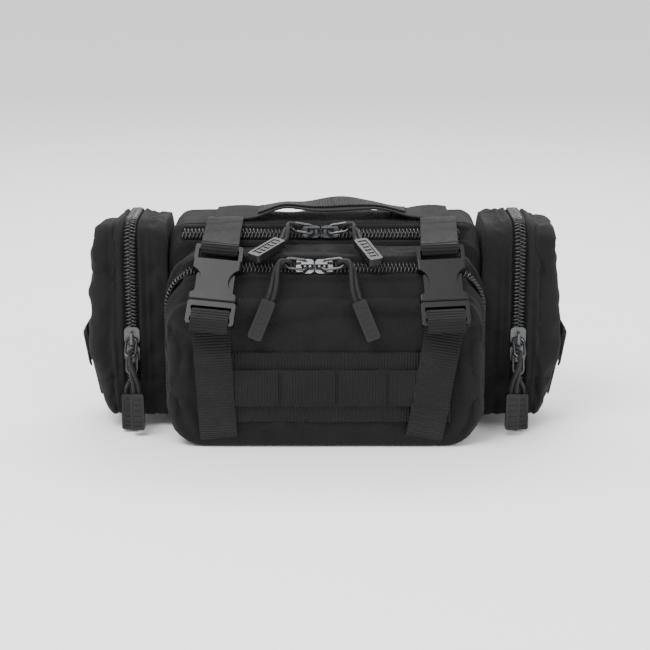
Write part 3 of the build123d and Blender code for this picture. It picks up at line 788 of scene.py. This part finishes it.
main_zip_z = MAIN_LIP_Z + (MAIN_ZIP_Y - SEAM_Y) * MAIN_SLOPE.z / MAIN_SLOPE.y - 0.4 * MM
main_zip_xs = ramp_steps(-MAIN_ZIP_HALF, MAIN_ZIP_HALF, 4 * MM)
main_zip_path = [Vector((x, MAIN_ZIP_Y, main_zip_z)) for x in main_zip_xs]
coil("main_zip_coil", main_zip_path, lambda p: MAIN_NORMAL, lambda p: MAIN_SLOPE, "main_zip_chain")
tape("main_zip_tape", main_zip_path, lambda p: MAIN_NORMAL, lambda p: MAIN_SLOPE)

for side, sign in (("left", -1), ("right", 1)):
    low_y, high_y, _, high_z, _ = side_size(SIDE_ZIP_X)
    arch = arch_path(low_y, high_y, high_z, SIDE_ZIP_RADIUS, SIDE_SEAM_Z)
    path = [Vector((sign * SIDE_ZIP_X, a, b)) for a, b in arch]

    def side_out(p, low=low_y, high=high_y, top=high_z):
        y = min(max(p.y, low + SIDE_ZIP_RADIUS), high - SIDE_ZIP_RADIUS)
        z = min(p.z, top - SIDE_ZIP_RADIUS)
        return Vector((0, p.y - y, p.z - z)).normalized()

    coil(f"{side}_pocket_zip_coil", path, side_out, lambda p: Vector((1, 0, 0)), f"{side}_pocket_zip_chain")
    tape(f"{side}_pocket_zip_tape", path, side_out, lambda p: Vector((1, 0, 0)))


# ---------------------------------------------------------------- straps and webbing
def buckle_frame(side):
    """The buckle's middle, its direction up the strap and its direction across, as the CAD places it."""
    lean = BUCKLE_LEAN[side]
    across = Vector((cos(lean), 0, 0)) + FRONT_SLOPE * sin(lean)
    up = FRONT_SLOPE * cos(lean) - Vector((sin(lean), 0, 0))
    middle = Vector((BUCKLE_X[side], (FRONT_LIP_Y + FRONT_Y) / 2, (POCKET_TOP + FRONT_LIP_Z) / 2))
    middle += -FRONT_SLOPE * BUCKLE_DROP + FRONT_NORMAL * BUCKLE_LIFT
    return middle, up, across


BUCKLE_X = {"left": -73 * MM, "right": 78 * MM}
BUCKLE_LEAN = {"left": radians(-6), "right": radians(3)}
LOWER_LEAN = {"left": radians(-3), "right": radians(9)}
BUCKLE_HALF = 29 * MM
BUCKLE_DROP = 7 * MM
BUCKLE_LIFT = 5.6 * MM
FLAT = Vector((1, 0, 0))

for side in ("left", "right"):
    middle, up, across = buckle_frame(side)
    out = FRONT_NORMAL
    bar = middle + up * (BUCKLE_HALF - 1.5 * MM)
    plug_bar = middle - up * (BUCKLE_HALF - 7.3 * MM)

    # upper strap: from under the handle, over the zips, round the bar and back behind itself
    top = MAIN_TOP + 0.9 * MM
    points = [
        Vector((bar.x + 1.5 * MM, 14 * MM, top)),
        Vector((bar.x + 1.5 * MM, 4 * MM, top + 0.5 * MM)),
        Vector((bar.x + 1.0 * MM, -6 * MM, top - 2.2 * MM)),
        Vector((bar.x + 0.5 * MM, -22 * MM, top - 6.0 * MM)),
        bar + up * 4.6 * MM + out * 1.2 * MM,
        bar + up * 2.2 * MM + out * 3.3 * MM,
        bar - up * 1.0 * MM + out * 3.7 * MM,
        bar - up * 3.4 * MM + out * 2.2 * MM,
        bar - up * 3.9 * MM - out * 0.6 * MM,
        bar - up * 2.2 * MM - out * 3.0 * MM,
        bar + up * 1.5 * MM - out * 3.4 * MM,
        bar + up * 5.0 * MM - out * 1.4 * MM,
    ]
    widths = [FLAT] * 4 + [across] * 8
    strap = band(f"{side}_upper_strap", points, widths, spacing=1.0 * MM)
    if side == "left":
        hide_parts("upper_straps")

    # the turn of webbing on the plug, with its stitched tail standing off the front
    loop = [
        plug_bar - up * 13.0 * MM + out * 2.4 * MM,
        plug_bar - up * 6.0 * MM + out * 4.6 * MM,
        plug_bar - up * 1.5 * MM + out * 4.4 * MM,
        plug_bar + up * 2.2 * MM + out * 3.9 * MM,
        plug_bar + up * 3.6 * MM + out * 1.4 * MM,
        plug_bar + up * 3.6 * MM - out * 1.4 * MM,
        plug_bar + up * 1.8 * MM - out * 3.9 * MM,
        plug_bar - up * 2.5 * MM - out * 4.2 * MM,
    ]
    turn = band(f"{side}_plug_webbing", loop, [across] * 8, body=f"{side}_plug", spacing=0.9 * MM)
    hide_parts(f"{side}_strap_loop")

    # lower strap: down the front over the webbing and in under the pocket
    lean = LOWER_LEAN[side]
    down = Vector((-sin(lean), 0, -cos(lean)))
    start = middle - up * 24.5 * MM - out * 6.4 * MM
    face = FRONT_Y - 3 * MM - 1.2 * MM
    flat = Vector((cos(lean), 0, -sin(lean)))

    def lower(z, y, x=0.0):
        run = (start.z - z) / cos(lean)
        return Vector((start.x + down.x * run + x, y, z))

    points = [
        start,
        lower(80 * MM, face - 0.4 * MM),
        lower(68 * MM, face - 1.9 * MM),
        lower(55 * MM, face - 0.8 * MM),
        lower(40 * MM, face - 0.5 * MM),
        lower(26 * MM, face - 0.6 * MM),
        lower(16 * MM, face + 0.8 * MM),
        lower(8 * MM, FRONT_Y + 0.2 * MM),
        lower(3.2 * MM, FRONT_Y + 4.5 * MM),
    ]
    strap = band(f"{side}_lower_webbing", points, [across] + [flat] * 8, spacing=1.6 * MM)
    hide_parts(f"{side}_lower_strap")


def flat_panel(name, low, high, outward, thickness, bow):
    """A row of webbing sewn flat: it bows out a little between its bar tacks."""
    x0, x1 = low.x, high.x
    z = (low.z + high.z) / 2
    count = 40
    points = []
    for i in range(count + 1):
        x = x0 + (x1 - x0) * i / count
        points.append(Vector((x, outward + bow(x), z)))
    return band(name, points, [Vector((0, 0, 1))] * (count + 1), high.z - low.z, thickness)


# Front webbing: wide backing with a 25 mm row bar-tacked on it
web_low, web_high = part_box("front_webbing")
TACKS = [x * MM for x in (-68, -30, 8, 42, 76)]


def front_bow(x):
    nearest = min(abs(x - tack) for tack in TACKS)
    return -0.9 * MM * step(nearest, 2 * MM, 14 * MM)


backing = flat_panel(
    "front_webbing_backing",
    web_low,
    web_high,
    FRONT_Y - 1.6 * MM,
    1.6 * MM,
    lambda x: -0.3 * MM * sin(x / MM / 19),
)
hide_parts("front_webbing")
row_z = (web_low.z + web_high.z) / 2
flat_panel(
    "front_webbing_row",
    Vector((web_low.x, 0, row_z - WEB / 2)),
    Vector((web_high.x, 0, row_z + WEB / 2)),
    FRONT_Y - 3.3 * MM,
    1.3 * MM,
    front_bow,
)


def bar_tack(name, columns, y, low_z, high_z):
    """Dense zigzag stitching in short upright columns."""
    verts, faces = [], []
    for x in columns:
        z = low_z
        line = []
        left = True
        while z < high_z:
            line.append(Vector((x + (-0.8 if left else 0.8) * MM, y, z)))
            left = not left
            z += 0.55 * MM
        tube_rings(line, 0.24 * MM, 5, verts, faces)
    mesh_piece(name, verts, faces, THREAD)


bar_tack("front_bar_tacks", TACKS[1:4], FRONT_Y - 4.1 * MM, row_z - 11.5 * MM, row_z + 11.5 * MM)

# Webbing on the outer wall of each end pocket
for side, sign in (("left", -1), ("right", 1)):
    low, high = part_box(f"{side}_pocket_webbing")
    wall_x = sign * SIDE_OUT
    for k, (z_low, z_high, lift) in enumerate(((low.z, high.z, 0.2), (43 * MM, 66 * MM, 1.9))):
        z = (z_low + z_high) / 2
        points = []
        for i in range(25):
            t = i / 24
            y = low.y + (high.y - low.y) * t
            tucked = 1 - step(min(t, 1 - t), 0.0, 0.16)
            proud = lift * MM + 0.5 * MM - tucked * 1.4 * MM + 1.4 * MM * sin(pi * t) * k
            points.append(Vector((wall_x + sign * proud, y, z)))
        points = [p - Vector((sign * taper(z), 0, 0)) for p in points]
        lean_out = sign * (taper(z_low) - taper(z_high)) / (z_high - z_low)
        piece = band(
            f"{side}_pocket_webbing_{k}", points, [Vector((lean_out, 0, 1))] * 25, z_high - z_low, 1.4 * MM
        )
        if k == 0:
            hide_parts(f"{side}_pocket_webbing")

# Webbing rows on the back
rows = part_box("back_webbing")
BACK_ROWS_Z = (30 * MM, 72 * MM, 114 * MM)
HALF_GAP = 19  # mm, half the spacing of the back rows' tacks
for k, z in enumerate(BACK_ROWS_Z):
    points = []
    for i in range(61):
        x = rows[0].x + (rows[1].x - rows[0].x) * i / 60
        gap = abs((x / MM + HALF_GAP) % (2 * HALF_GAP) - HALF_GAP) / HALF_GAP
        points.append(Vector((x, BACK_Y + 0.9 * MM + 1.0 * MM * step(gap, 0.1, 0.8), z)))
    piece = band(f"back_webbing_{k}", points, [Vector((0, 0, 1))] * 61, WEB, 1.4 * MM)
    if k == 0:
        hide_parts("back_webbing")

# ---------------------------------------------------------------- carry handle
grip_low, grip_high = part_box("carry_handle")
ends_low, ends_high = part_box("handle_ends")
HANDLE_Y = (grip_low.y + grip_high.y) / 2
HANDLE_FLOOR = MAIN_TOP + STRAP_THICK + 1.0 * MM
HANDLE_WIDTH = 37 * MM
HANDLE_WAVE = 0.8 * MM
HANDLE_INSET = 30 * MM  # where the ribbed webbing starts, in from a sewn end


def handle_height(x):
    t = (x - grip_low.x) / (grip_high.x - grip_low.x)
    inside = step(t, 0.0, 0.25) * step(1 - t, 0.0, 0.25)
    return HANDLE_FLOOR + inside * 5.2 * MM + 0.9 * MM * sin(x / MM / 8.5) * (0.4 + inside * 0.6)


def handle_strip(name, x0, x1, width, lift, material):
    count = max(4, round((x1 - x0) / (4 * MM)))
    points, widths = [], []
    for i in range(count + 1):
        x = x0 + (x1 - x0) * i / count
        y = HANDLE_Y + HANDLE_WAVE * sin(x / MM / 17)
        points.append(Vector((x, y, handle_height(x) + lift)))
        widths.append(Vector((0, 1, 0.10 * sin(x / MM / 11 + 0.8))))
    return band(name, points, widths, width, 1.5 * MM, material, body=None)


def across_joint(piece):
    """Bakes the grip's placement into its mesh; the grip rides on no body."""
    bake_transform(piece)


# Each half of the grip ends at its middle, where the two halves meet
for side, x0, x1 in (("left", ends_low.x, 5 * MM), ("right", 5 * MM, ends_high.x)):
    wide = handle_strip(f"{side}_handle_fabric", x0, x1, HANDLE_WIDTH, 0.0, FABRIC_WORN)
    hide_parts("handle_ends", "carry_handle")
    across_joint(wide)
    start, stop = (x0 + HANDLE_INSET, x1) if side == "left" else (x0, x1 - HANDLE_INSET)
    ribbed = handle_strip(f"{side}_handle_webbing", start, stop, WEB, 1.6 * MM, WEBBING)
    across_joint(ribbed)

# ---------------------------------------------------------------- zip pulls
CORD_DIAMETER = 2.8 * MM
CORD_TURN = 3.1 * MM
STRAND_HALF = 1.7 * MM
RING_REACH = 15.2 * MM
# The cord turns round the ring on corners of a hexagon: tan and cos of 30 degrees
HEX_TAN = 0.577
HEX_COS = 0.866
hinges = {
    joint["name"].replace("_pull_swing", ""): Vector(joint["pos_m"])
    for joint in frame["joints"]
    if joint["type"] == "hinge"
}
PULLS = {
    # in mm: where the tab starts and ends, which way it faces, and the straight runs by the ring and the tab
    "main_left": ((-30.0, -27, 135.4), (-47.5, -47.5, 128.7), (0, -0.2, 1), (4.0, 5.0)),
    "main_right": ((23.5, -27, 135.4), (33.0, -49.0, 127.4), (0, -0.2, 1), (4.0, 5.0)),
    "front_left": ((-36.5, -60.4, 103), (-47.5, -63.0, 76), (0, -1, 0.2), (5.5, 6.5)),
    "front_right": ((22, -60.4, 102.5), (33, -63.0, 75.5), (0, -1, 0.2), (5.5, 6.5)),
    "left_pocket_upper": ((-129.0, -32.6, 31.0), (-128.6, -31.6, 3.2), (0, -1, 0), (4.4, 5.0)),
    "left_pocket_lower": ((-135.6, -22.0, 28.0), (-136.2, -20.8, 1.6), (0, -1, 0), (3.0, 3.5)),
    "right_pocket_upper": ((129.0, -32.6, 31.0), (128.6, -31.6, 3.2), (0, -1, 0), (4.4, 5.0)),
    "right_pocket_lower": ((135.6, -22.0, 28.0), (136.2, -20.8, 1.6), (0, -1, 0), (3.0, 3.5)),
}


def ring_lie(name):
    """The ring's direction away from its slider, and the way its face points."""
    if "pocket" in name:
        lift = radians(50 if "upper" in name else 15)
        return Vector((0, -sin(lift), -cos(lift))), Vector((0, -cos(lift), sin(lift)))
    sign = -1 if "left" in name else 1
    normal = MAIN_NORMAL if "main" in name else FRONT_NORMAL
    lift = radians(15)
    outward = Vector((sign, 0, 0))
    return outward * cos(lift) + normal * sin(lift), normal * cos(lift) - outward * sin(lift)


def cord_route(name):
    """From one side of the tab, round the ring's far wire, and back to the tab's other side."""
    start, end, facing, (leave_run, enter_run) = PULLS[name]
    start, end, facing = Vector(start) * MM, Vector(end) * MM, Vector(facing)
    down = (end - start).normalized()
    face = (facing - down * facing.dot(down)).normalized()
    along, normal = ring_lie(name)
    across = face.cross(down)
    across = across if across.dot(normal) >= 0 else -across
    far = hinges[name] + along * RING_REACH
    strands = []
    for sign in (1, -1):
        rise, spread = normal * sign, across * sign
        bend = far - along * (CORD_TURN * HEX_TAN) + rise * CORD_TURN
        leave = far + along * (leave_run * MM) + rise * (3 * MM)
        enter = start - down * (enter_run * MM) + spread * STRAND_HALF
        middle = (leave + enter) / 2 + (rise * (3 * MM) + spread * STRAND_HALF) * 0.1 + face * MM
        strands.append([bend, leave, middle, enter, start + spread * STRAND_HALF])
    turn_back = far - along * (CORD_TURN / HEX_COS)
    return list(reversed(strands[0])) + [turn_back] + strands[1]


for name in PULLS:
    points = cord_route(name)
    curve = bpy.data.curves.new(f"{name}_pull_cord", "CURVE")
    curve.dimensions = "3D"
    curve.resolution_u = 12
    curve.bevel_depth = CORD_DIAMETER / 2
    curve.bevel_resolution = 4
    spline = curve.splines.new("NURBS")
    spline.points.add(len(points) - 1)
    for target, point in zip(spline.points, points):
        target.co = (*point, 1)
    spline.order_u = 3
    spline.use_endpoint_u = True
    curve.use_fill_caps = True
    curve.materials.append(CORD)
    piece = bpy.data.objects.new(curve.name, curve)
    bpy.context.collection.objects.link(piece)
    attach(piece, f"{name}_pull")
    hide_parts(f"{name}_cord")

# Carried-over parts take their finish from here
FINISHES = {"slider": SLIDER, "ring": RING, "tab": TAB, "plug": BUCKLE, "receptacle": BUCKLE}
for node_name, node in frame["nodes"].items():
    finish = FINISHES.get(node_name.split("_")[-1])
    if finish:
        node.data.materials.clear()
        node.data.materials.append(finish)

# ---------------------------------------------------------------- floor, light and camera
floor_material = bpy.data.materials.new("studio_floor")
floor_material.use_nodes = True
floor_shader = floor_material.node_tree.nodes["Principled BSDF"]
floor_shader.inputs["Base Color"].default_value = (0.93, 0.93, 0.93, 1)
floor_shader.inputs["Roughness"].default_value = 0.7
bpy.ops.mesh.primitive_plane_add(size=14, location=(0, 4, 0))
floor = bpy.context.object
floor.name = "studio_floor"
floor.data.materials.append(floor_material)

world = bpy.data.worlds.new("studio")
bpy.context.scene.world = world
world.use_nodes = True
world.node_tree.nodes["Background"].inputs["Color"].default_value = (1, 1, 1, 1)
world.node_tree.nodes["Background"].inputs["Strength"].default_value = 1.3


def area_light(name, location, size, power, target=(0, 0, 70 * MM)):
    light = bpy.data.lights.new(name, "AREA")
    light.shape = "RECTANGLE"
    light.size, light.size_y = size
    light.energy = power
    holder = bpy.data.objects.new(name, light)
    holder.location = location
    holder.rotation_euler = (Vector(target) - Vector(location)).to_track_quat("-Z", "Y").to_euler()
    bpy.context.collection.objects.link(holder)


area_light("key", (-0.5, -0.7, 1.3), (0.9, 0.7), 26)
area_light("front_fill", (0.9, -1.3, 0.7), (0.8, 0.8), 10)
area_light("back_top", (0.1, 0.9, 1.2), (1.2, 0.5), 16)

CAMERA_DISTANCE = 1.16
CAMERA_RISE = radians(14)
aim = Vector((0, 0, 71 * MM))
camera_data = bpy.data.cameras.new("camera")
camera_data.lens = 92
camera_data.sensor_width = 36
camera = bpy.data.objects.new("camera", camera_data)
camera.location = aim + Vector((0, -cos(CAMERA_RISE), sin(CAMERA_RISE))) * CAMERA_DISTANCE
camera.rotation_euler = (aim - camera.location).to_track_quat("-Z", "Y").to_euler()
bpy.context.collection.objects.link(camera)
bpy.context.scene.camera = camera
